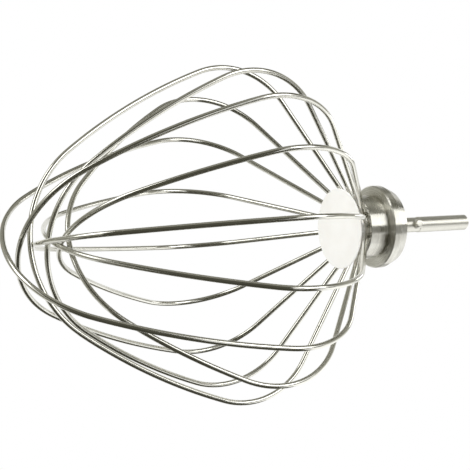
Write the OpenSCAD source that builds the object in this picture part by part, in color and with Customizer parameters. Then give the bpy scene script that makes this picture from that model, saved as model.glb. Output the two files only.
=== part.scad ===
// Wire whip for a stand mixer: eight bent wire loops, a turned steel hub, a plastic
// centre disc and a round drive shaft with a cross pin. The axis is Z, with the shaft
// upwards and the wire cage hanging below it. The origin is the middle of the plain
// stretch of shaft that the mixer's socket grips.

/* [Shaft] */
// Diameter of the drive shaft's ground upper stretch
shaft_d = 8; // [6:0.5:10]
// Length of that ground stretch, which the mixer's socket grips
grip_len = 30; // [20:0.5:45]
// How much smaller the turned shank below it is, on the radius
shank_step = 0.2; // [0.16:0.02:0.3]
// Shank between the ground stretch and the hole of the cross pin
shank_clear = 0.3; // [0.2:0.1:2]
// Chamfer at the free end of the shaft
shaft_chamfer = 1.2; // [0.4:0.1:1.6]
// Diameter of the cross pin
pin_d = 4.5; // [3:0.25:5]
// Length of the cross pin
pin_len = 13; // [11:0.5:18]
// Rounding at both ends of the cross pin
pin_round = 0.8; // [0.3:0.1:1.2]
// Distance from the middle of the cross pin down to the collar
pin_height = 16.4; // [8:0.2:25]

/* [Hub] */
// Diameter of the collar
collar_d = 41.6; // [38:0.2:50]
// Height of the collar
collar_len = 9; // [6:0.2:12]
// Height of the tapered upper part of the collar
collar_taper = 5; // [2:0.2:5.5]
// Diameter of the collar's upper face
collar_top_d = 37; // [30:0.2:37]
// Diameter of the drum that holds the wires
drum_d = 32; // [31:0.2:36]
// Length of the drum below the collar
drum_len = 10.8; // [6:0.2:14]
// Width of the relief groove where the drum meets the collar
relief_w = 0.9; // [0.5:0.1:1.2]
// Depth of that relief groove
relief_depth = 0.5; // [0.2:0.1:0.8]
// Chamfer on the turned edges of the hub
hub_chamfer = 0.6; // [0.2:0.1:1]
// Depth of the blind holes that hold the wire ends
wire_hole_depth = 12; // [6:0.5:13]

/* [Disc] */
// Diameter of the centre disc
disc_d = 40; // [34:0.5:48]
// Distance from the hub's lower face to the face of the disc
disc_drop = 8.8; // [8.4:0.1:12]
// Rounding of the disc's rim
disc_round = 0.3; // [0.1:0.1:0.3]
// Diameter of the boss behind the disc
boss_d = 21.6; // [14:0.2:22]
// Length of the peg that the disc has in the hub's bore
peg_len = 5; // [3:0.5:7]
// Gap between the underside of the disc and the wires
disc_gap = 0.65; // [0.1:0.05:0.8]

/* [Wires] */
// Diameter of the wire
wire_d = 2.5; // [2:0.1:2.8]
// Radius of the circle on which the wires enter the hub
wire_circle_r = 13.8; // [13:0.1:14]
// Centreline radius of the bend at the hub
root_bend_r = 2.9; // [2.5:0.1:6]
// Straight wire between the hub's face and that bend
root_straight = 0.1; // [0:0.1:0.5]
// Angle of the straight arm from the plane across the axis
arm_angle = 34; // [28:0.5:36]
// Radius of the cage at its widest, to the middle of the wire
cage_r = 79.7; // [70:0.5:90]
// Centreline radius of the shoulder bend
shoulder_r = 37.7; // [28:0.5:44]
// Centreline radius of the long flank
flank_r = 265; // [200:5:400]
// Centreline radius of the tip bend
tip_r = 51.5; // [40:0.5:56]
// Depth of the outermost tip below the hub's lower face, at the axis
cage_depth = 180; // [170:0.5:200]
// Clearance between pieces that seat in each other, on the radius
seat_gap = 0.05; // [0.02:0.01:0.1]

/* [Loops] */
// Gap at the axis from each loop to the next one in, outermost first
tip_gaps = [4.9, 2.2, 0.6, 2.4, 0.4, 1.0, 1.0]; // [0.3:0.1:6]
// Place of each loop in the even spread round the axis, outermost first
loop_places = [6, 2, 4, 0, 3, 7, 1, 5]; // [0:1:7]
// Turn of each loop away from its even place, in degrees
loop_turns = [1.4, -0.9, -1.1, -0.5, -1.4, 0.4, -0.8, 3.2]; // [-4:0.1:4]
// Sideways lean of each tip in the plane of its loop
loop_leans = [-5.8, -1.8, 0, 0, -2.3, 5.7, 3.2, -3.2]; // [-6:0.1:6]
// How much wider than the cage each loop is, on the radius
loop_spreads = [0.8, -0.2, 0.5, -2, -0.8, 1.4, 0, 0.2]; // [-3:0.1:3]

/* [Hidden] */

// Facets of round pieces and of the wire's section
$fn = 96;
wire_fn = 48;
// How far a cut runs past the face it leaves
past = 1;
// Gap under the wire ends at the bottom of their holes
end_gap = 0.2;
// Lengths of wire meet in a short sleeve, a hair wider than the wire, that makes them
// one solid: its length, how far it stands proud and the gap that it bridges
sleeve_len = 0.3;
sleeve_proud = 0.02;
sleeve_gap = 0.05;
// Loops in the cage, spread evenly over half a turn
loops = len(loop_places);
loop_pitch = 180 / loops;
// Radius of the shank, which carries the pin and sits in the hub
shank_r = shaft_d / 2 - shank_step;
// Radius of the hole for the cross pin
pin_hole_r = pin_d / 2 + seat_gap;

// Heights along the axis, from the shaft's end downwards
grip_top_z = grip_len / 2;
shaft_end_z = grip_top_z + shaft_chamfer;
pin_z = -grip_len / 2 - shank_clear - pin_hole_r;
collar_top_z = pin_z - pin_height;
collar_base_z = collar_top_z - collar_len;
face_z = collar_base_z - drum_len;

steel = [0.72, 0.72, 0.69];
bright_steel = [0.80, 0.80, 0.78];
plastic = [0.96, 0.95, 0.93];

// Stands what is drawn in depth below the hub's lower face on that face, upside down
module below_hub()
    translate([0, 0, face_z]) rotate([180, 0, 0]) children();

// Total of the first n numbers of a list
function sum_first(list, n) = n == 0 ? 0 : list[n - 1] + sum_first(list, n - 1);

// Depth of a loop's wire where it crosses the axis, loop 0 being the outermost
function tip_depth(loop) = cage_depth - loop * wire_d - sum_first(tip_gaps, loop);

// Turn of a loop's plane about the axis, anticlockwise as seen from the tips
function loop_angle(loop) = loop_places[loop] * loop_pitch + loop_turns[loop];

// Direction in degrees from point a to point b
function heading(a, b) = atan2(b.y - a.y, b.x - a.x);

// The point at an angle on a circle
function round_point(centre, radius, angle) = centre + radius * [cos(angle), sin(angle)];

// The wire at its root turns from the axial direction out to the arm
root_turn = 90 - arm_angle;
root_centre = [wire_circle_r + root_bend_r, root_straight];
arm_start = root_centre - root_bend_r * [cos(root_turn), -sin(root_turn)];

// Depth of the arm's middle line at a distance r from the axis
function arm_depth(r) = arm_start.y + (r - arm_start.x) * tan(arm_angle);

// Bends of one half of a loop, as points and angles in its plane: distance from the
// axis and depth below the hub's face
function shoulder_centre(widest) =
    let (x = widest - shoulder_r)
    [x, arm_depth(x + shoulder_r * sin(arm_angle)) + shoulder_r * cos(arm_angle)];

function tip_centre(depth, lean) = [lean, depth - sqrt(tip_r * tip_r - lean * lean)];

// The flank's circle holds the shoulder's and the tip's circles and touches both
function flank_centre(shoulder, tip) =
    let (
        gap = norm(tip - shoulder),
        dir = (tip - shoulder) / gap,
        a = flank_r - shoulder_r,
        b = flank_r - tip_r,
        along = (a * a - b * b + gap * gap) / (2 * gap),
        aside = sqrt(a * a - along * along)
    )
    shoulder + along * dir + aside * [-dir.y, dir.x];

// Angle on the tip bend at which the flank of one half runs into it
function tip_angle(depth, widest, lean) =
    let (
        tip = tip_centre(depth, lean),
        flank = flank_centre(shoulder_centre(widest), tip)
    )
    heading(flank, tip);

// A round bend of wire in the XZ plane, from one angle to another about its centre
module bend(centre, radius, from, to) {
    trim = sleeve_gap / 2 / radius * 180 / PI;
    translate([centre.x, 0, centre.y]) rotate([90, 0, 0])
        rotate_extrude(angle = to - from - 2 * trim, start = from + trim, $fn = 2 * $fn)
            translate([radius, 0]) circle(d = wire_d, $fn = wire_fn);
}

// A straight length of wire in the XZ plane
module straight(from, to)
    translate([from.x, 0, from.y]) rotate([0, 90 - heading(from, to), 0])
        translate([0, 0, sleeve_gap / 2])
            cylinder(h = norm(to - from) - sleeve_gap, d = wire_d, $fn = wire_fn);

// The sleeve at a point of the wire, which runs there in the given direction
module sleeve(at, direction)
    translate([at.x, 0, at.y]) rotate([0, 90 - direction, 0])
        cylinder(
            h = sleeve_len, r = wire_d / 2 + sleeve_proud,
            center = true, $fn = wire_fn
        );

// One half of a loop from its end in the hub to the start of the tip bend
module half_loop(depth, widest, lean) {
    shoulder = shoulder_centre(widest);
    tip = tip_centre(depth, lean);
    flank = flank_centre(shoulder, tip);
    root = [wire_circle_r, root_straight];
    arm_end = shoulder + shoulder_r * [sin(arm_angle), -cos(arm_angle)];
    shoulder_end = heading(flank, shoulder);
    flank_end = heading(flank, tip);
    straight([wire_circle_r, end_gap - wire_hole_depth], root);
    sleeve(root, 90);
    bend(root_centre, root_bend_r, 180 - root_turn, 180);
    sleeve(arm_start, arm_angle);
    straight(arm_start, arm_end);
    sleeve(arm_end, arm_angle);
    bend(shoulder, shoulder_r, -root_turn, shoulder_end);
    sleeve(round_point(shoulder, shoulder_r, shoulder_end), shoulder_end + 90);
    bend(flank, flank_r, shoulder_end, flank_end);
    sleeve(round_point(tip, tip_r, flank_end), flank_end + 90);
}

// A whole loop: two halves joined by the tip bend
module wire_loop(loop) {
    depth = tip_depth(loop);
    widest = cage_r + loop_spreads[loop];
    lean = loop_leans[loop];
    color(bright_steel) below_hub() rotate([0, 0, loop_angle(loop)]) {
        half_loop(depth, widest, lean);
        mirror([1, 0, 0]) half_loop(depth, widest, -lean);
        bend(
            tip_centre(depth, lean), tip_r,
            tip_angle(depth, widest, lean),
            180 - tip_angle(depth, widest, -lean)
        );
    }
}

// Round shaft with a ground grip above and a turned shank below, which is drilled for
// the cross pin and pressed into the hub
module drive_shaft() {
    foot_z = face_z + peg_len + end_gap;
    color(steel) difference() {
        union() {
            translate([0, 0, foot_z]) cylinder(h = grip_top_z - foot_z, r = shank_r);
            translate([0, 0, -grip_len / 2]) cylinder(h = grip_len, d = shaft_d);
            translate([0, 0, grip_top_z])
                cylinder(h = shaft_chamfer, d1 = shaft_d, d2 = shaft_d - 2 * shaft_chamfer);
        }
        translate([0, 0, pin_z]) rotate([0, 90, 0])
            cylinder(h = shaft_d + 2 * past, r = pin_hole_r, center = true);
    }
}

// Drive pin through the shaft, with rounded ends that stand out on both sides
module cross_pin() {
    r = pin_d / 2;
    half = pin_len / 2;
    color(steel) translate([0, 0, pin_z]) rotate([0, 90, 0])
        rotate_extrude() {
            translate([0, -half + pin_round]) square([r, pin_len - 2 * pin_round]);
            translate([0, -half]) square([r - pin_round, pin_len]);
            for (side = [-1, 1]) translate([r - pin_round, side * (half - pin_round)])
                circle(r = pin_round);
        }
}

// Outline of the hub's section: drum, relief groove and tapered collar
module hub_section() {
    drum_r = drum_d / 2;
    collar_r = collar_d / 2;
    groove_r = drum_r - relief_depth;
    c = hub_chamfer;
    polygon([
        [0, face_z],
        [drum_r - c, face_z],
        [drum_r, face_z + c],
        [drum_r, collar_base_z - relief_w],
        [groove_r, collar_base_z - relief_w],
        [groove_r, collar_base_z],
        [collar_r - c, collar_base_z],
        [collar_r, collar_base_z + c],
        [collar_r, collar_top_z - collar_taper],
        [collar_top_d / 2, collar_top_z],
        [0, collar_top_z]
    ]);
}

// Turned hub with the shaft's bore and a ring of blind holes for the wire ends
module hub() {
    bore_r = shank_r + seat_gap;
    color(steel) difference() {
        rotate_extrude() hub_section();
        translate([0, 0, face_z - past])
            cylinder(h = collar_top_z - face_z + 2 * past, r = bore_r);
        below_hub()
            for (loop = [0:loops - 1], side = [0, 180])
                rotate([0, 0, loop_angle(loop) + side])
                    translate([wire_circle_r, 0, -wire_hole_depth])
                        cylinder(
                            h = wire_hole_depth + past,
                            r = wire_d / 2 + seat_gap, $fn = wire_fn
                        );
    }
}

// Plastic disc that closes the fan of arms: its underside follows the arms, its boss
// sits on the hub's face and its peg is pressed into the bore
module centre_disc() {
    disc_r = disc_d / 2;
    boss_r = boss_d / 2;
    // The underside lies this much deeper than the middle line of the arms
    lift = (wire_d / 2 + disc_gap) / cos(arm_angle);
    color(plastic) below_hub() rotate_extrude() {
        difference() {
            union() {
                square([disc_r - disc_round, disc_drop]);
                square([disc_r, disc_drop - disc_round]);
                translate([disc_r - disc_round, disc_drop - disc_round])
                    circle(r = disc_round);
            }
            // Room for the arms and the root bends behind the disc
            polygon([
                [boss_r, -past],
                [boss_r, arm_depth(boss_r) + lift],
                [disc_r + past, arm_depth(disc_r + past) + lift],
                [disc_r + past, -past]
            ]);
        }
        translate([0, -peg_len]) square([shank_r, peg_len]);
    }
}

drive_shaft();
cross_pin();
hub();
centre_disc();
wire_loop(0);  // wire_loop_1
wire_loop(1);  // wire_loop_2
wire_loop(2);  // wire_loop_3
wire_loop(3);  // wire_loop_4
wire_loop(4);  // wire_loop_5
wire_loop(5);  // wire_loop_6
wire_loop(6);  // wire_loop_7
wire_loop(7);  // wire_loop_8
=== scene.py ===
import math

import bpy
from mathutils import Matrix, Vector


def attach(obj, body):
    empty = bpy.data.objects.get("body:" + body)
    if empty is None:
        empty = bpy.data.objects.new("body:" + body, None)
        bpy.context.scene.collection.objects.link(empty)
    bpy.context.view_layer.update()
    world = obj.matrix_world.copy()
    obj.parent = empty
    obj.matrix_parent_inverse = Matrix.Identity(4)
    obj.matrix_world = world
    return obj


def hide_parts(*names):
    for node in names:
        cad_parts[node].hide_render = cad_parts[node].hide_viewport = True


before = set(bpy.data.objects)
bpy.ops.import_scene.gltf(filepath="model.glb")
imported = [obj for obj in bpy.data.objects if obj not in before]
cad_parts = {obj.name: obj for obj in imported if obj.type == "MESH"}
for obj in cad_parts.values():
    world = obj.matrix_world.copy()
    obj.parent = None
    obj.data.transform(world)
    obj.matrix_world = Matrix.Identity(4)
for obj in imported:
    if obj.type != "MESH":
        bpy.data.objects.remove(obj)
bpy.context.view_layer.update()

MM = 0.001

# Sizes of the whip in millimetres, as its source names them
SHAFT_R = 4.0
GRIP_LEN = 30.0
SHAFT_CHAMFER = 1.2
SHANK_R = 3.8
SHANK_CLEAR = 0.3
PIN_R = 2.25
PIN_LEN = 13.0
PIN_ROUND = 0.8
SEAT_GAP = 0.05
PIN_HEIGHT = 16.4
COLLAR_R = 20.8
COLLAR_LEN = 9.0
COLLAR_TAPER = 5.0
COLLAR_TOP_R = 18.5
DRUM_R = 16.0
DRUM_LEN = 10.8
RELIEF_W = 0.9
RELIEF_DEPTH = 0.5
HUB_CHAMFER = 0.6
DISC_R = 20.0
DISC_DROP = 8.8
DISC_ROUND = 0.3
BOSS_R = 10.8
PEG_LEN = 5.0
DISC_GAP = 0.65
WIRE_R = 1.25
WIRE_CIRCLE_R = 13.8
WIRE_HOLE_DEPTH = 12.0
END_GAP = 0.2
ROOT_BEND_R = 2.9
ROOT_STRAIGHT = 0.1
ARM_ANGLE = math.radians(34.0)
CAGE_R = 79.7
SHOULDER_R = 37.7
FLANK_R = 265.0
TIP_R = 51.5
CAGE_DEPTH = 180.0
TIP_GAPS = [4.9, 2.2, 0.6, 2.4, 0.4, 1.0, 1.0]
LOOP_PLACES = [6, 2, 4, 0, 3, 7, 1, 5]
LOOP_TURNS = [1.4, -0.9, -1.1, -0.5, -1.4, 0.4, -0.8, 3.2]
LOOP_LEANS = [-5.8, -1.8, 0.0, 0.0, -2.3, 5.7, 3.2, -3.2]
LOOP_SPREADS = [0.8, -0.2, 0.5, -2.0, -0.8, 1.4, 0.0, 0.2]

# Heights along the axis in millimetres, from the shaft's end downwards
GRIP_TOP_Z = GRIP_LEN / 2
GRIP_BASE_Z = -GRIP_LEN / 2
SHAFT_END_Z = GRIP_TOP_Z + SHAFT_CHAMFER
PIN_Z = GRIP_BASE_Z - SHANK_CLEAR - PIN_R - SEAT_GAP
COLLAR_TOP_Z = PIN_Z - PIN_HEIGHT
COLLAR_BASE_Z = COLLAR_TOP_Z - COLLAR_LEN
FACE_Z = COLLAR_BASE_Z - DRUM_LEN
DISC_Z = FACE_Z - DISC_DROP

# Steps of a turned piece round its axis, and of a wire round its section
TURN_STEPS = 128
WIRE_SIDES = 24
HOLE_SIDES = 32

# Steps along a wire: its ends in the hub, its arms, and its bends
END_STEPS = 2
ARM_STEPS = 6
ROOT_STEPS = 12
SHOULDER_STEPS = 28
FLANK_STEPS = 20
TIP_STEPS = 40

# Fine edges in millimetres, and the distance at which points are merged
HUB_EDGE = 0.12
SHAFT_EDGE = 0.08
HOLE_FLARE = 0.3
HOLE_FLARE_DEPTH = 0.2
MERGE_GAP = 0.001

# The hub takes the two ends of each of this many loops, spaced evenly round it
LOOP_COUNT = 8
LOOP_STEP = 22.5


# Camera, at the photograph's viewing angle

# The place is in metres in the part's frame; the fields' right and up directions were
# fitted to the traced wires, the disc's rim and the hub
CAMERA_AT = Vector((0.51295, 0.0403, -0.38372))
CAMERA_RIGHT = Vector((0.4493, 0.0861, 0.8892))
CAMERA_UP = Vector((0.1003, -0.9939, 0.0455))
CAMERA_LENS = 92.81
CAMERA_SENSOR = 36.0


def make_camera():
    """Places the camera and gives its right, up and backward directions."""
    data = bpy.data.cameras.new("photo_camera")
    data.lens = CAMERA_LENS
    data.sensor_width = CAMERA_SENSOR
    data.clip_start = 0.01
    data.clip_end = 100.0
    camera = bpy.data.objects.new("photo_camera", data)
    bpy.context.scene.collection.objects.link(camera)
    right = CAMERA_RIGHT.normalized()
    back = right.cross(CAMERA_UP).normalized()
    up = back.cross(right)
    turn = Matrix((right, up, back)).transposed().to_4x4()
    camera.matrix_world = Matrix.Translation(CAMERA_AT) @ turn
    bpy.context.scene.camera = camera
    return right, up, back


CAM_RIGHT, CAM_UP, CAM_BACK = make_camera()


# Shader nodes and colours

def linear(colour):
    """The linear RGBA of an sRGB hex colour."""
    channels = []
    for start in (1, 3, 5):
        value = int(colour[start:start + 2], 16) / 255
        channels.append(value / 12.92 if value <= 0.04045 else ((value + 0.055) / 1.055) ** 2.4)
    return (*channels, 1.0)


def add_node(tree, kind, settings=None, links=None):
    """Adds a node; settings name its properties or input sockets, links its input sockets."""
    made = tree.nodes.new(kind)
    for name, value in (settings or {}).items():
        if isinstance(name, int) or name in made.inputs:
            made.inputs[name].default_value = value
        else:
            setattr(made, name, value)
    for name, source in (links or {}).items():
        tree.links.new(source, made.inputs[name])
    return made


def set_ramp(ramp, stops):
    """Gives a colour ramp its stops, each a position and a colour."""
    elements = ramp.color_ramp.elements
    while len(elements) < len(stops):
        elements.new(0.5)
    for element, (position, colour) in zip(elements, stops):
        element.position = position
        element.color = colour


def new_material(name):
    made = bpy.data.materials.new(name)
    made.use_nodes = True
    made.node_tree.nodes.clear()
    return made


def finish_material(material, shader):
    add_node(material.node_tree, "ShaderNodeOutputMaterial", None, {"Surface": shader.outputs[0]})
    return material


def drawn_steel():
    """Stainless steel wire, drawn through a die and then tumbled bright. The die leaves hair
    lines along the wire, which stretch each highlight lengthwise, and the tumbling leaves
    soft patches that are a little duller."""
    material = new_material("drawn_stainless_wire")
    tree = material.node_tree
    lay = add_node(tree, "ShaderNodeUVMap", {"uv_map": "wire_lay"})
    # The map holds turns round the wire and metres along it: marks 0.1 mm wide, 4 mm long
    along = add_node(tree, "ShaderNodeMapping", {"Scale": (1.0, 4.0, 1.0)},
                     {"Vector": lay.outputs["UV"]})
    lines = add_node(tree, "ShaderNodeTexNoise", {"Scale": 70.0, "Detail": 3.0, "Roughness": 0.6},
                     {"Vector": along.outputs["Vector"]})
    place = add_node(tree, "ShaderNodeTexCoord")
    # Dull patches about 12 mm across
    patches = add_node(tree, "ShaderNodeTexNoise", {"Scale": 80.0, "Detail": 2.0},
                       {"Vector": place.outputs["Object"]})
    tint = add_node(tree, "ShaderNodeValToRGB", None, {"Fac": patches.outputs["Fac"]})
    set_ramp(tint, [(0.35, linear("#d2d1c8")), (0.65, linear("#dddcd4"))])
    gloss = add_node(tree, "ShaderNodeMapRange",
                     {"From Min": 0.3, "From Max": 0.7, "To Min": 0.09, "To Max": 0.16},
                     {"Value": lines.outputs["Fac"]})
    relief = add_node(tree, "ShaderNodeBump", {"Strength": 0.04, "Distance": 0.00001},
                      {"Height": lines.outputs["Fac"]})
    steel = add_node(tree, "ShaderNodeBsdfPrincipled", {"Metallic": 1.0},
                     {"Base Color": tint.outputs["Color"], "Roughness": gloss.outputs["Result"],
                      "Normal": relief.outputs["Normal"]})
    return finish_material(material, steel)


def turned_steel():
    """Stainless steel bar, faced and turned on a lathe with a fine feed. The tool leaves rings
    round the axis, so a highlight spreads across them into one sharp-sided bright band that
    runs along the hub and over its steps."""
    material = new_material("turned_stainless_steel")
    tree = material.node_tree
    place = add_node(tree, "ShaderNodeTexCoord")
    split = add_node(tree, "ShaderNodeSeparateXYZ", None, {"Vector": place.outputs["Object"]})
    flat = add_node(tree, "ShaderNodeCombineXYZ", None,
                    {"X": split.outputs["X"], "Y": split.outputs["Y"]})
    radius = add_node(tree, "ShaderNodeVectorMath", {"operation": "LENGTH"},
                      {0: flat.outputs["Vector"]})
    # Rings follow both the height on the sides and the radius on the faces
    ring_place = add_node(tree, "ShaderNodeCombineXYZ", None,
                          {"X": split.outputs["Z"], "Y": radius.outputs["Value"]})
    # The feed is about 0.1 mm a turn; it is drawn at 0.3 mm so that it shows
    rings = add_node(tree, "ShaderNodeTexNoise", {"Scale": 3300.0, "Detail": 2.0, "Roughness": 0.5},
                     {"Vector": ring_place.outputs["Vector"]})
    # Slightly darker patches about 6 mm across
    stains = add_node(tree, "ShaderNodeTexNoise", {"Scale": 160.0, "Detail": 4.0},
                      {"Vector": place.outputs["Object"]})
    tint = add_node(tree, "ShaderNodeValToRGB", None, {"Fac": stains.outputs["Fac"]})
    set_ramp(tint, [(0.3, linear("#d4d2c8")), (0.7, linear("#e1e0d8"))])
    gloss = add_node(tree, "ShaderNodeMapRange",
                     {"From Min": 0.3, "From Max": 0.7, "To Min": 0.24, "To Max": 0.32},
                     {"Value": rings.outputs["Fac"]})
    relief = add_node(tree, "ShaderNodeBump", {"Strength": 0.15, "Distance": 0.00003},
                      {"Height": rings.outputs["Fac"]})
    lathe = add_node(tree, "ShaderNodeTangent", {"direction_type": "RADIAL", "axis": "Z"})
    steel = add_node(tree, "ShaderNodeBsdfPrincipled",
                     {"Metallic": 1.0, "Anisotropic": 1.0, "Anisotropic Rotation": 0.25},
                     {"Base Color": tint.outputs["Color"], "Roughness": gloss.outputs["Result"],
                      "Normal": relief.outputs["Normal"], "Tangent": lathe.outputs["Tangent"]})
    return finish_material(material, steel)


def ground_steel():
    """Stainless steel ground between wheels to size. Its marks are short and fine, and run
    round the shaft, so it shines softer than the wire."""
    material = new_material("ground_stainless_steel")
    tree = material.node_tree
    place = add_node(tree, "ShaderNodeTexCoord")
    # Marks 0.15 mm wide along the shaft and about 2 mm long round it
    squeezed = add_node(tree, "ShaderNodeMapping", {"Scale": (1.0, 1.0, 13.0)},
                        {"Vector": place.outputs["Object"]})
    marks = add_node(tree, "ShaderNodeTexNoise", {"Scale": 500.0, "Detail": 3.0},
                     {"Vector": squeezed.outputs["Vector"]})
    tint = add_node(tree, "ShaderNodeValToRGB", None, {"Fac": marks.outputs["Fac"]})
    set_ramp(tint, [(0.3, linear("#d2d0c6")), (0.7, linear("#dfded6"))])
    gloss = add_node(tree, "ShaderNodeMapRange",
                     {"From Min": 0.3, "From Max": 0.7, "To Min": 0.34, "To Max": 0.42},
                     {"Value": marks.outputs["Fac"]})
    relief = add_node(tree, "ShaderNodeBump", {"Strength": 0.1, "Distance": 0.00002},
                      {"Height": marks.outputs["Fac"]})
    wheel = add_node(tree, "ShaderNodeTangent", {"direction_type": "RADIAL", "axis": "Z"})
    steel = add_node(tree, "ShaderNodeBsdfPrincipled",
                     {"Metallic": 1.0, "Anisotropic": 0.6, "Anisotropic Rotation": 0.25},
                     {"Base Color": tint.outputs["Color"], "Roughness": gloss.outputs["Result"],
                      "Normal": relief.outputs["Normal"], "Tangent": wheel.outputs["Tangent"]})
    return finish_material(material, steel)


def moulded_acetal():
    """Natural white acetal, injection moulded in a fine-sparked mould. It is a warm white
    that lets a little light in, with a satin skin and a grain that only a close look shows."""
    material = new_material("moulded_white_acetal")
    tree = material.node_tree
    place = add_node(tree, "ShaderNodeTexCoord")
    # Spark texture about 0.25 mm across
    grain = add_node(tree, "ShaderNodeTexNoise", {"Scale": 4000.0, "Detail": 2.0},
                     {"Vector": place.outputs["Object"]})
    # Faint greying where dough and washing have dulled it, about 15 mm across
    wear = add_node(tree, "ShaderNodeTexNoise", {"Scale": 70.0, "Detail": 4.0},
                    {"Vector": place.outputs["Object"]})
    tint = add_node(tree, "ShaderNodeValToRGB", None, {"Fac": wear.outputs["Fac"]})
    set_ramp(tint, [(0.3, linear("#f3f1ec")), (0.65, linear("#f9f8f4"))])
    gloss = add_node(tree, "ShaderNodeMapRange",
                     {"From Min": 0.3, "From Max": 0.7, "To Min": 0.38, "To Max": 0.5},
                     {"Value": wear.outputs["Fac"]})
    relief = add_node(tree, "ShaderNodeBump", {"Strength": 0.1, "Distance": 0.00003},
                      {"Height": grain.outputs["Fac"]})
    plastic = add_node(tree, "ShaderNodeBsdfPrincipled",
                       {"IOR": 1.48, "Subsurface Weight": 0.15, "Subsurface Radius": (1.0, 0.9, 0.8),
                        "Subsurface Scale": 0.001},
                       {"Base Color": tint.outputs["Color"], "Roughness": gloss.outputs["Result"],
                        "Normal": relief.outputs["Normal"]})
    return finish_material(material, plastic)


WIRE_STEEL = drawn_steel()
HUB_STEEL = turned_steel()
SHAFT_STEEL = ground_steel()
DISC_PLASTIC = moulded_acetal()


# Modelling by operators

def deselect():
    bpy.ops.object.select_all(action="DESELECT")


def choose(piece):
    """Makes a piece the only one selected, and the active one."""
    deselect()
    piece.select_set(True)
    bpy.context.view_layer.objects.active = piece


def set_place(piece):
    """Moves a piece's place, turn and size into its mesh."""
    choose(piece)
    bpy.ops.object.transform_apply(location=True, rotation=True, scale=True)


def round_edges(piece, width, segments, limit):
    """Rounds the edges sharper than the limit in degrees, by a width in millimetres."""
    choose(piece)
    bevel = piece.modifiers.new("edge_rounding", "BEVEL")
    bevel.width = width * MM
    bevel.segments = segments
    bevel.limit_method = "ANGLE"
    bevel.angle_limit = math.radians(limit)
    bevel.use_clamp_overlap = True
    bpy.ops.object.modifier_apply(modifier=bevel.name)


def smooth(piece, angle):
    """Shades edges flatter than the angle smooth, and lets the large faces rule the shading."""
    choose(piece)
    bpy.ops.object.shade_smooth_by_angle(angle=math.radians(angle))
    weigh = piece.modifiers.new("face_weights", "WEIGHTED_NORMAL")
    weigh.keep_sharp = True
    bpy.ops.object.modifier_apply(modifier=weigh.name)


def dress(piece, material, slot, *nodes):
    """Gives a finished piece its material, hangs it on the root body and hides the CAD nodes it
    stands for. The slot is not used.
    """
    piece.data.materials.clear()
    piece.data.materials.append(material)
    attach(piece, "root")
    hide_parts(*nodes)


def turn_profile(name, profile, axis="Z", centre=(0.0, 0.0, 0.0)):
    """Turns a profile of (radius, height) points in millimetres about the Z or X axis."""
    deselect()
    bpy.ops.mesh.primitive_circle_add(vertices=3, radius=MM, location=(0.0, 0.0, 0.0))
    piece = bpy.context.object
    piece.name = name
    bpy.ops.object.mode_set(mode="EDIT")
    bpy.ops.mesh.select_all(action="SELECT")
    bpy.ops.mesh.merge(type="CENTER")
    # The point left in the middle goes to the start and is drawn out along the profile
    last = Vector((0.0, 0.0, 0.0))
    for count, (radius, height) in enumerate(profile):
        along = (radius, 0.0, height) if axis == "Z" else (height, 0.0, radius)
        place = Vector(centre) * MM + Vector(along) * MM
        if count == 0:
            bpy.ops.transform.translate(value=place - last)
        else:
            bpy.ops.mesh.extrude_region_move(TRANSFORM_OT_translate={"value": place - last})
        last = place
    bpy.ops.mesh.select_all(action="SELECT")
    bpy.ops.mesh.spin(steps=TURN_STEPS, angle=2 * math.pi, center=Vector(centre) * MM,
                      axis=(0.0, 0.0, 1.0) if axis == "Z" else (1.0, 0.0, 0.0))
    bpy.ops.mesh.select_all(action="SELECT")
    bpy.ops.mesh.remove_doubles(threshold=MERGE_GAP * MM)
    bpy.ops.mesh.select_all(action="SELECT")
    bpy.ops.mesh.normals_make_consistent(inside=False)
    bpy.ops.object.mode_set(mode="OBJECT")
    return piece


def cut_away(piece, cutter):
    """Cuts the cutter's shape out of the piece and removes the cutter."""
    choose(piece)
    cut = piece.modifiers.new("cut", "BOOLEAN")
    cut.operation = "DIFFERENCE"
    cut.solver = "EXACT"
    cut.object = cutter
    bpy.ops.object.modifier_apply(modifier=cut.name)
    bpy.data.objects.remove(cutter)


def merge_close(piece):
    """Merges points that the cuts left almost on each other."""
    choose(piece)
    bpy.ops.object.mode_set(mode="EDIT")
    bpy.ops.mesh.select_all(action="SELECT")
    bpy.ops.mesh.remove_doubles(threshold=MERGE_GAP * MM)
    bpy.ops.object.mode_set(mode="OBJECT")


# Hub, shaft, pin and disc

def loop_turn(loop):
    """Angle of a loop's plane about the axis, anticlockwise as seen from the tips."""
    return math.radians(LOOP_PLACES[loop] * LOOP_STEP + LOOP_TURNS[loop])


def loop_out(angle):
    """Direction out from the axis in a loop's plane."""
    return Vector((math.cos(angle), -math.sin(angle), 0.0))


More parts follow.
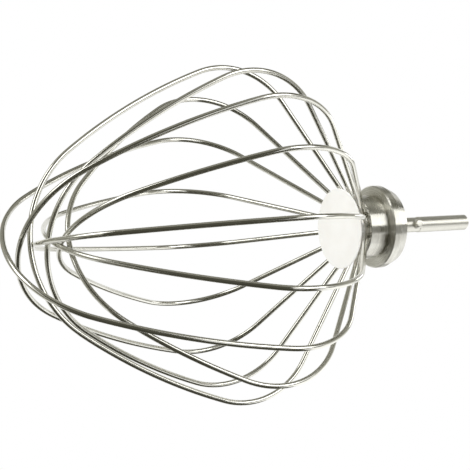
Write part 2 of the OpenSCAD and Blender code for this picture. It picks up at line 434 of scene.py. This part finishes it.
def wire_hole(angle):
    """A cutter for one blind hole with a small countersink at its mouth."""
    mouth = WIRE_R + SEAT_GAP
    wide = mouth + HOLE_FLARE
    # From the hole's bottom to a millimetre outside the face
    profile = [(mouth, FACE_Z + WIRE_HOLE_DEPTH), (mouth, FACE_Z + HOLE_FLARE_DEPTH),
               (wide, FACE_Z + HOLE_FLARE_DEPTH - HOLE_FLARE), (wide, FACE_Z - 1.0)]
    deselect()
    bpy.ops.mesh.primitive_circle_add(vertices=HOLE_SIDES, radius=MM, location=(0.0, 0.0, 0.0))
    cutter = bpy.context.object
    at = loop_out(angle) * WIRE_CIRCLE_R * MM
    bpy.ops.object.mode_set(mode="EDIT")
    bpy.ops.mesh.select_all(action="SELECT")
    bpy.ops.transform.translate(value=at + Vector((0.0, 0.0, profile[0][1] * MM)))
    radius, height = 1.0, profile[0][1]
    for next_radius, next_height in profile:
        if next_height != height:
            bpy.ops.mesh.extrude_region_move(
                TRANSFORM_OT_translate={"value": (0.0, 0.0, (next_height - height) * MM)})
        ratio = next_radius / radius
        bpy.ops.transform.resize(value=(ratio, ratio, 1.0),
                                 center_override=at + Vector((0.0, 0.0, next_height * MM)))
        radius, height = next_radius, next_height
    bpy.ops.mesh.select_all(action="DESELECT")
    bpy.ops.mesh.select_non_manifold()
    bpy.ops.mesh.edge_face_add()
    bpy.ops.mesh.select_all(action="SELECT")
    bpy.ops.mesh.normals_make_consistent(inside=False)
    bpy.ops.object.mode_set(mode="OBJECT")
    return cutter


def make_hub():
    bore = SHANK_R + SEAT_GAP
    hub = turn_profile("turned_hub", [
        (bore, FACE_Z), (DRUM_R - HUB_CHAMFER, FACE_Z), (DRUM_R, FACE_Z + HUB_CHAMFER),
        (DRUM_R, COLLAR_BASE_Z - RELIEF_W), (DRUM_R - RELIEF_DEPTH, COLLAR_BASE_Z - RELIEF_W),
        (DRUM_R - RELIEF_DEPTH, COLLAR_BASE_Z), (COLLAR_R - HUB_CHAMFER, COLLAR_BASE_Z),
        (COLLAR_R, COLLAR_BASE_Z + HUB_CHAMFER), (COLLAR_R, COLLAR_TOP_Z - COLLAR_TAPER),
        (COLLAR_TOP_R, COLLAR_TOP_Z), (bore, COLLAR_TOP_Z), (bore, FACE_Z)])
    round_edges(hub, HUB_EDGE, 2, 20)
    for loop in range(LOOP_COUNT):
        for half_turn in (0.0, math.pi):
            cut_away(hub, wire_hole(loop_turn(loop) + half_turn))
    merge_close(hub)
    smooth(hub, 25)
    dress(hub, HUB_STEEL, "hub_steel", "hub")


def make_shaft():
    foot_z = FACE_Z + PEG_LEN + END_GAP
    shaft = turn_profile("ground_shaft", [
        (0.0, foot_z), (SHANK_R, foot_z), (SHANK_R, GRIP_BASE_Z), (SHAFT_R, GRIP_BASE_Z),
        (SHAFT_R, GRIP_TOP_Z), (SHAFT_R - SHAFT_CHAMFER, SHAFT_END_Z), (0.0, SHAFT_END_Z)])
    round_edges(shaft, SHAFT_EDGE, 2, 20)
    hole_r = PIN_R + SEAT_GAP
    reach = SHAFT_R + 1.0
    hole = turn_profile("pin_hole", [(0.0, -reach), (hole_r, -reach), (hole_r, reach), (0.0, reach)],
                        "X", (0.0, 0.0, PIN_Z))
    cut_away(shaft, hole)
    merge_close(shaft)
    smooth(shaft, 25)
    dress(shaft, SHAFT_STEEL, "shaft_steel", "drive_shaft")


def make_pin():
    half = PIN_LEN / 2
    corner = []
    for step in range(7):
        angle = math.radians(90 * step / 6)
        corner.append((PIN_R - PIN_ROUND + PIN_ROUND * math.sin(angle),
                       half - PIN_ROUND + PIN_ROUND * math.cos(angle)))
    far_end = [(0.0, half)] + corner
    near_end = [(radius, -height) for radius, height in reversed(far_end)]
    pin = turn_profile("cross_pin_rod", far_end + near_end, "X", (0.0, 0.0, PIN_Z))
    smooth(pin, 30)
    dress(pin, SHAFT_STEEL, "shaft_steel", "cross_pin")


def arm_depth(radius):
    """Depth of the arms' middle line below the hub's face, at a distance from the axis."""
    start = arm_start()
    return start.y + (radius - start.x) * math.tan(ARM_ANGLE)


def arm_start():
    """Where the root bend runs out into the arm: distance from the axis, and depth."""
    turn = math.pi / 2 - ARM_ANGLE
    return Vector((WIRE_CIRCLE_R + ROOT_BEND_R - ROOT_BEND_R * math.cos(turn),
                   ROOT_STRAIGHT + ROOT_BEND_R * math.sin(turn)))


def make_disc():
    lift = (WIRE_R + DISC_GAP) / math.cos(ARM_ANGLE)
    face = [(0.0, DISC_Z), (DISC_R - DISC_ROUND, DISC_Z)]
    for step in range(1, 6):
        angle = math.radians(90 * step / 5)
        face.append((DISC_R - DISC_ROUND + DISC_ROUND * math.sin(angle),
                     DISC_Z + DISC_ROUND - DISC_ROUND * math.cos(angle)))
    back = [(DISC_R, FACE_Z - arm_depth(DISC_R) - lift),
            (BOSS_R, FACE_Z - arm_depth(BOSS_R) - lift), (BOSS_R, FACE_Z),
            (SHANK_R, FACE_Z), (SHANK_R, FACE_Z + PEG_LEN), (0.0, FACE_Z + PEG_LEN)]
    disc = turn_profile("moulded_disc", face + back)
    smooth(disc, 30)
    dress(disc, DISC_PLASTIC, "disc_plastic", "centre_disc")


# Wire loops

def tip_depth(loop):
    """Depth of a loop's tip below the hub's face, each loop inside the one before."""
    return CAGE_DEPTH - loop * 2 * WIRE_R - sum(TIP_GAPS[:loop])


def bend_plan(loop):
    """The bends of one loop in its plane: centres, and the angles where one meets the next."""
    depth = tip_depth(loop)
    widest = CAGE_R + LOOP_SPREADS[loop]
    halves = []
    for side in (1, -1):
        lean = LOOP_LEANS[loop] * side
        reach = widest - SHOULDER_R
        shoulder = Vector((reach, arm_depth(reach + SHOULDER_R * math.sin(ARM_ANGLE))
                           + SHOULDER_R * math.cos(ARM_ANGLE)))
        tip = Vector((lean, depth - math.sqrt(TIP_R ** 2 - lean ** 2)))
        gap = (tip - shoulder).length
        out = (tip - shoulder) / gap
        a = FLANK_R - SHOULDER_R
        b = FLANK_R - TIP_R
        along = (a * a - b * b + gap * gap) / (2 * gap)
        aside = math.sqrt(a * a - along * along)
        flank = shoulder + along * out + aside * Vector((-out.y, out.x))
        halves.append({"shoulder": shoulder, "flank": flank, "tip": tip,
                       "shoulder_end": math.atan2(*reversed(shoulder - flank)),
                       "flank_end": math.atan2(*reversed(tip - flank))})
    return halves


def make_loop(loop):
    """Bends one loop as a wire former does: a straight is an extrusion and a bend a spin."""
    angle = loop_turn(loop)
    out = loop_out(angle)
    down = Vector((0.0, 0.0, -1.0))
    across = out.cross(down)

    def place(point):
        return (out * point[0] + down * point[1] + Vector((0.0, 0.0, FACE_Z))) * MM

    near, far = bend_plan(loop)
    root_turn = math.pi / 2 - ARM_ANGLE
    start = Vector((WIRE_CIRCLE_R, END_GAP - WIRE_HOLE_DEPTH))
    root = Vector((WIRE_CIRCLE_R, ROOT_STRAIGHT))
    root_centre = Vector((WIRE_CIRCLE_R + ROOT_BEND_R, ROOT_STRAIGHT))
    arm_end = near["shoulder"] + SHOULDER_R * Vector((math.sin(ARM_ANGLE), -math.cos(ARM_ANGLE)))
    arm = arm_end - arm_start()
    rings = [0.0]

    deselect()
    bpy.ops.mesh.primitive_circle_add(vertices=WIRE_SIDES, radius=WIRE_R * MM, location=place(start))
    wire = bpy.context.object
    wire.name = f"bent_wire_{loop + 1}"
    # The circle's first point faces the axis, so the seam of the lay is the same on each loop
    wire.rotation_euler = (0.0, 0.0, -angle)
    set_place(wire)
    bpy.ops.object.mode_set(mode="EDIT")
    bpy.ops.mesh.select_all(action="SELECT")

    def straight(move, pieces=1):
        for _ in range(pieces):
            vector = (out * move[0] + down * move[1]) * MM / pieces
            bpy.ops.mesh.extrude_region_move(TRANSFORM_OT_translate={"value": vector})
            rings.append(rings[-1] + Vector(move).length / pieces)

    def bend(centre, radius, turn, steps):
        # A positive turn goes from out towards down; the operator turns the other way
        bpy.ops.mesh.spin(steps=steps, angle=-turn, center=place(centre), axis=across,
                          use_auto_merge=False)
        for _ in range(steps):
            rings.append(rings[-1] + radius * abs(turn) / steps)

    def mirrored(point):
        return Vector((-point.x, point.y))

    straight(root - start, END_STEPS)
    bend(root_centre, ROOT_BEND_R, -root_turn, ROOT_STEPS)
    straight(arm, ARM_STEPS)
    bend(near["shoulder"], SHOULDER_R, near["shoulder_end"] + root_turn, SHOULDER_STEPS)
    bend(near["flank"], FLANK_R, near["flank_end"] - near["shoulder_end"], FLANK_STEPS)
    bend(near["tip"], TIP_R, math.pi - far["flank_end"] - near["flank_end"], TIP_STEPS)
    far_flank = far["flank_end"] - far["shoulder_end"]
    bend(mirrored(far["flank"]), FLANK_R, far_flank, FLANK_STEPS)
    far_shoulder = far["shoulder_end"] + root_turn
    bend(mirrored(far["shoulder"]), SHOULDER_R, far_shoulder, SHOULDER_STEPS)
    straight(Vector((arm.x, -arm.y)), ARM_STEPS)
    bend(mirrored(root_centre), ROOT_BEND_R, -root_turn, ROOT_STEPS)
    straight(start - root, END_STEPS)

    bpy.ops.mesh.select_all(action="DESELECT")
    bpy.ops.mesh.select_non_manifold()
    bpy.ops.mesh.edge_face_add()
    bpy.ops.mesh.select_all(action="SELECT")
    bpy.ops.mesh.normals_make_consistent(inside=False)
    bpy.ops.object.mode_set(mode="OBJECT")
    map_lay(wire, rings)
    smooth(wire, 40)
    dress(wire, WIRE_STEEL, "wire_steel", f"wire_loop_{loop + 1}")


def map_lay(wire, rings):
    """Maps the wire as turns round its section and metres along it, ring by ring."""
    lay = wire.data.uv_layers.new(name="wire_lay")
    for face in wire.data.polygons:
        sides = [wire.data.loops[corner].vertex_index % WIRE_SIDES for corner in face.loop_indices]
        seam = len(sides) == 4 and max(sides) - min(sides) > 1
        for corner, side in zip(face.loop_indices, sides):
            ring = wire.data.loops[corner].vertex_index // WIRE_SIDES
            turn = (side + WIRE_SIDES if seam and side == 0 else side) / WIRE_SIDES
            lay.data[corner].uv = (turn, rings[ring] * MM)


make_hub()
make_shaft()
make_pin()
make_disc()
for number in range(LOOP_COUNT):
    make_loop(number)


# Studio: floor, white surround, one lamp, and cards for the reflections

def sight(azimuth, elevation):
    """Direction from the whip, by degrees to the right of the camera and above it."""
    a = math.radians(azimuth)
    e = math.radians(elevation)
    return (CAM_BACK * math.cos(a) * math.cos(e) + CAM_RIGHT * math.sin(a) * math.cos(e)
            + CAM_UP * math.sin(e))


# Middle of the whip, which the cards and the lamp stand round, in metres
MIDDLE = Vector((0.0, 0.0, -0.11))

# The floor in metres; from the first distance out to the second it fades into the white
FLOOR_Z = -1.35
FLOOR_SIZE = 60.0
FADE_START = 5.0
FADE_END = 13.0

# The lamp's size and distance in metres and its power in watts
LAMP_SIZE = 0.5
LAMP_DISTANCE = 1.1
LAMP_POWER = 4.8


def glow(name, colour, strength):
    material = new_material(name)
    light = add_node(material.node_tree, "ShaderNodeEmission",
                     {"Color": linear(colour), "Strength": strength})
    return finish_material(material, light)


def card(name, azimuth, elevation, distance, width, height, material):
    """A studio card that only reflections see. Angles are in degrees, the rest in metres."""
    direction = sight(azimuth, elevation)
    deselect()
    bpy.ops.mesh.primitive_plane_add(size=1.0, location=(0.0, 0.0, 0.0))
    panel = bpy.context.object
    panel.name = name
    side = CAM_UP.cross(direction).normalized()
    top = direction.cross(side).normalized()
    turn = Matrix((side, top, direction)).transposed().to_4x4()
    panel.matrix_world = (Matrix.Translation(MIDDLE + direction * distance) @ turn
                          @ Matrix.Diagonal((width, height, 1.0, 1.0)))
    panel.data.materials.append(material)
    panel.visible_camera = False
    panel.visible_diffuse = False
    panel.visible_shadow = False
    panel.visible_volume_scatter = False


FLAG_BLACK = glow("black_flag_cloth", "#47463d", 1.0)
FLAG_DARK = glow("dark_flag_cloth", "#56554b", 1.0)
FLAG_GREY = glow("grey_flag_cloth", "#99988f", 1.0)
FLAG_PALE = glow("pale_flag_cloth", "#a9a89f", 1.0)
FLAG_BACK = glow("backdrop_cloth", "#6b6a60", 1.0)
SOFTBOX = glow("softbox_cloth", "#ffffff", 3.6)
LIT_PAPER = glow("lit_paper", "#ffffff", 1.4)

# The wires in the photograph mirror a dark studio round the camera and below it, a tall
# softbox to each side of it, a grey ceiling, pale grey walls and a darker backdrop high
# and low behind. Lit paper, a bright strip and a dark flag close to the hub give its
# bright band and the tones beside it
card("flag_camera", -9.0, 8.0, 1.1, 1.25, 2.1, FLAG_DARK)
card("flag_below", 4.0, -66.0, 1.0, 2.2, 1.6, FLAG_BLACK)
card("flag_above", -10.0, 84.0, 1.15, 1.8, 1.7, FLAG_GREY)
card("flag_left", -64.0, -12.0, 1.1, 1.0, 0.9, FLAG_GREY)
card("flag_right", 52.0, -7.0, 0.9, 0.74, 0.32, FLAG_DARK)
card("flag_corner", 76.0, 52.0, 0.85, 0.6, 0.3, FLAG_DARK)
card("wall_left", -106.0, 18.0, 1.2, 1.25, 1.6, FLAG_PALE)
card("wall_right", 99.0, 28.0, 1.2, 1.15, 1.2, FLAG_PALE)
card("paper_right", 92.0, -34.0, 1.15, 1.2, 0.6, LIT_PAPER)
card("wall_back_high", 180.0, 57.0, 1.25, 1.3, 0.85, FLAG_BACK)
card("wall_back_low", 180.0, -57.0, 1.25, 1.3, 0.85, FLAG_BACK)
card("softbox_right", 47.0, 24.0, 0.95, 0.46, 0.64, SOFTBOX)
card("softbox_left", -61.0, 35.5, 0.95, 0.36, 0.58, SOFTBOX)
card("paper_hub", 110.0, -44.0, 0.2, 0.19, 0.13, LIT_PAPER)
card("strip_hub", 112.0, 11.0, 0.225, 0.09, 0.055, SOFTBOX)
card("flag_hub", 114.0, 11.0, 0.235, 0.11, 0.14, FLAG_DARK)


def make_world():
    world = bpy.data.worlds.new("white_surround")
    bpy.context.scene.world = world
    world.use_nodes = True
    tree = world.node_tree
    tree.nodes.clear()
    path = add_node(tree, "ShaderNodeLightPath")
    seen = add_node(tree, "ShaderNodeMath", {"operation": "MAXIMUM"},
                    {0: path.outputs["Is Camera Ray"], 1: path.outputs["Is Glossy Ray"]})
    shown = add_node(tree, "ShaderNodeMath", {"operation": "MAXIMUM"},
                     {0: seen.outputs[0], 1: path.outputs["Is Transmission Ray"]})
    # Strength 1 where the surround is seen, and the plain light level elsewhere
    level = add_node(tree, "ShaderNodeMapRange", {"To Min": 0.98, "To Max": 1.0},
                     {"Value": shown.outputs[0]})
    background = add_node(tree, "ShaderNodeBackground", {"Color": (1.0, 1.0, 1.0, 1.0)},
                          {"Strength": level.outputs["Result"]})
    add_node(tree, "ShaderNodeOutputWorld", None, {"Surface": background.outputs[0]})


def make_floor():
    """Pale floor well below the whip, which hangs by its shaft. It keeps the whip's shadow."""
    deselect()
    bpy.ops.mesh.primitive_plane_add(size=FLOOR_SIZE, location=(0.0, 0.0, FLOOR_Z))
    floor = bpy.context.object
    floor.name = "pale_floor"
    material = new_material("pale_floor_paint")
    tree = material.node_tree
    place = add_node(tree, "ShaderNodeTexCoord")
    mottle = add_node(tree, "ShaderNodeTexNoise", {"Scale": 0.7, "Detail": 2.0},
                      {"Vector": place.outputs["Object"]})
    tint = add_node(tree, "ShaderNodeValToRGB", None, {"Fac": mottle.outputs["Fac"]})
    set_ramp(tint, [(0.3, linear("#f6f6f4")), (0.7, linear("#fafaf8"))])
    paint = add_node(tree, "ShaderNodeBsdfDiffuse", None, {"Color": tint.outputs["Color"]})
    # Far out the floor fades into the white surround, so that no edge shows
    reach = add_node(tree, "ShaderNodeVectorMath", {"operation": "LENGTH"},
                     {0: place.outputs["Object"]})
    fade = add_node(tree, "ShaderNodeMapRange", {"From Min": FADE_START, "From Max": FADE_END},
                    {"Value": reach.outputs["Value"]})
    surround = add_node(tree, "ShaderNodeEmission",
                        {"Color": (1.0, 1.0, 1.0, 1.0), "Strength": 1.0})
    blend = add_node(tree, "ShaderNodeMixShader", None,
                     {0: fade.outputs["Result"], 1: paint.outputs[0], 2: surround.outputs[0]})
    finish_material(material, blend)
    floor.data.materials.append(material)


def area_lamp(name, azimuth, elevation, distance, size, power):
    data = bpy.data.lights.new(name, "AREA")
    data.shape = "SQUARE"
    data.size = size
    data.energy = power
    lamp = bpy.data.objects.new(name, data)
    bpy.context.scene.collection.objects.link(lamp)
    direction = sight(azimuth, elevation)
    lamp.location = MIDDLE + direction * distance
    lamp.rotation_mode = "QUATERNION"
    lamp.rotation_quaternion = direction.to_track_quat("Z", "Y")
    # The softbox cards stand for it in reflections
    lamp.visible_glossy = False


make_world()
make_floor()
area_lamp("key_lamp", -20.0, 35.0, LAMP_DISTANCE, LAMP_SIZE, LAMP_POWER)

view = bpy.context.scene.view_settings
view.view_transform = "Standard"
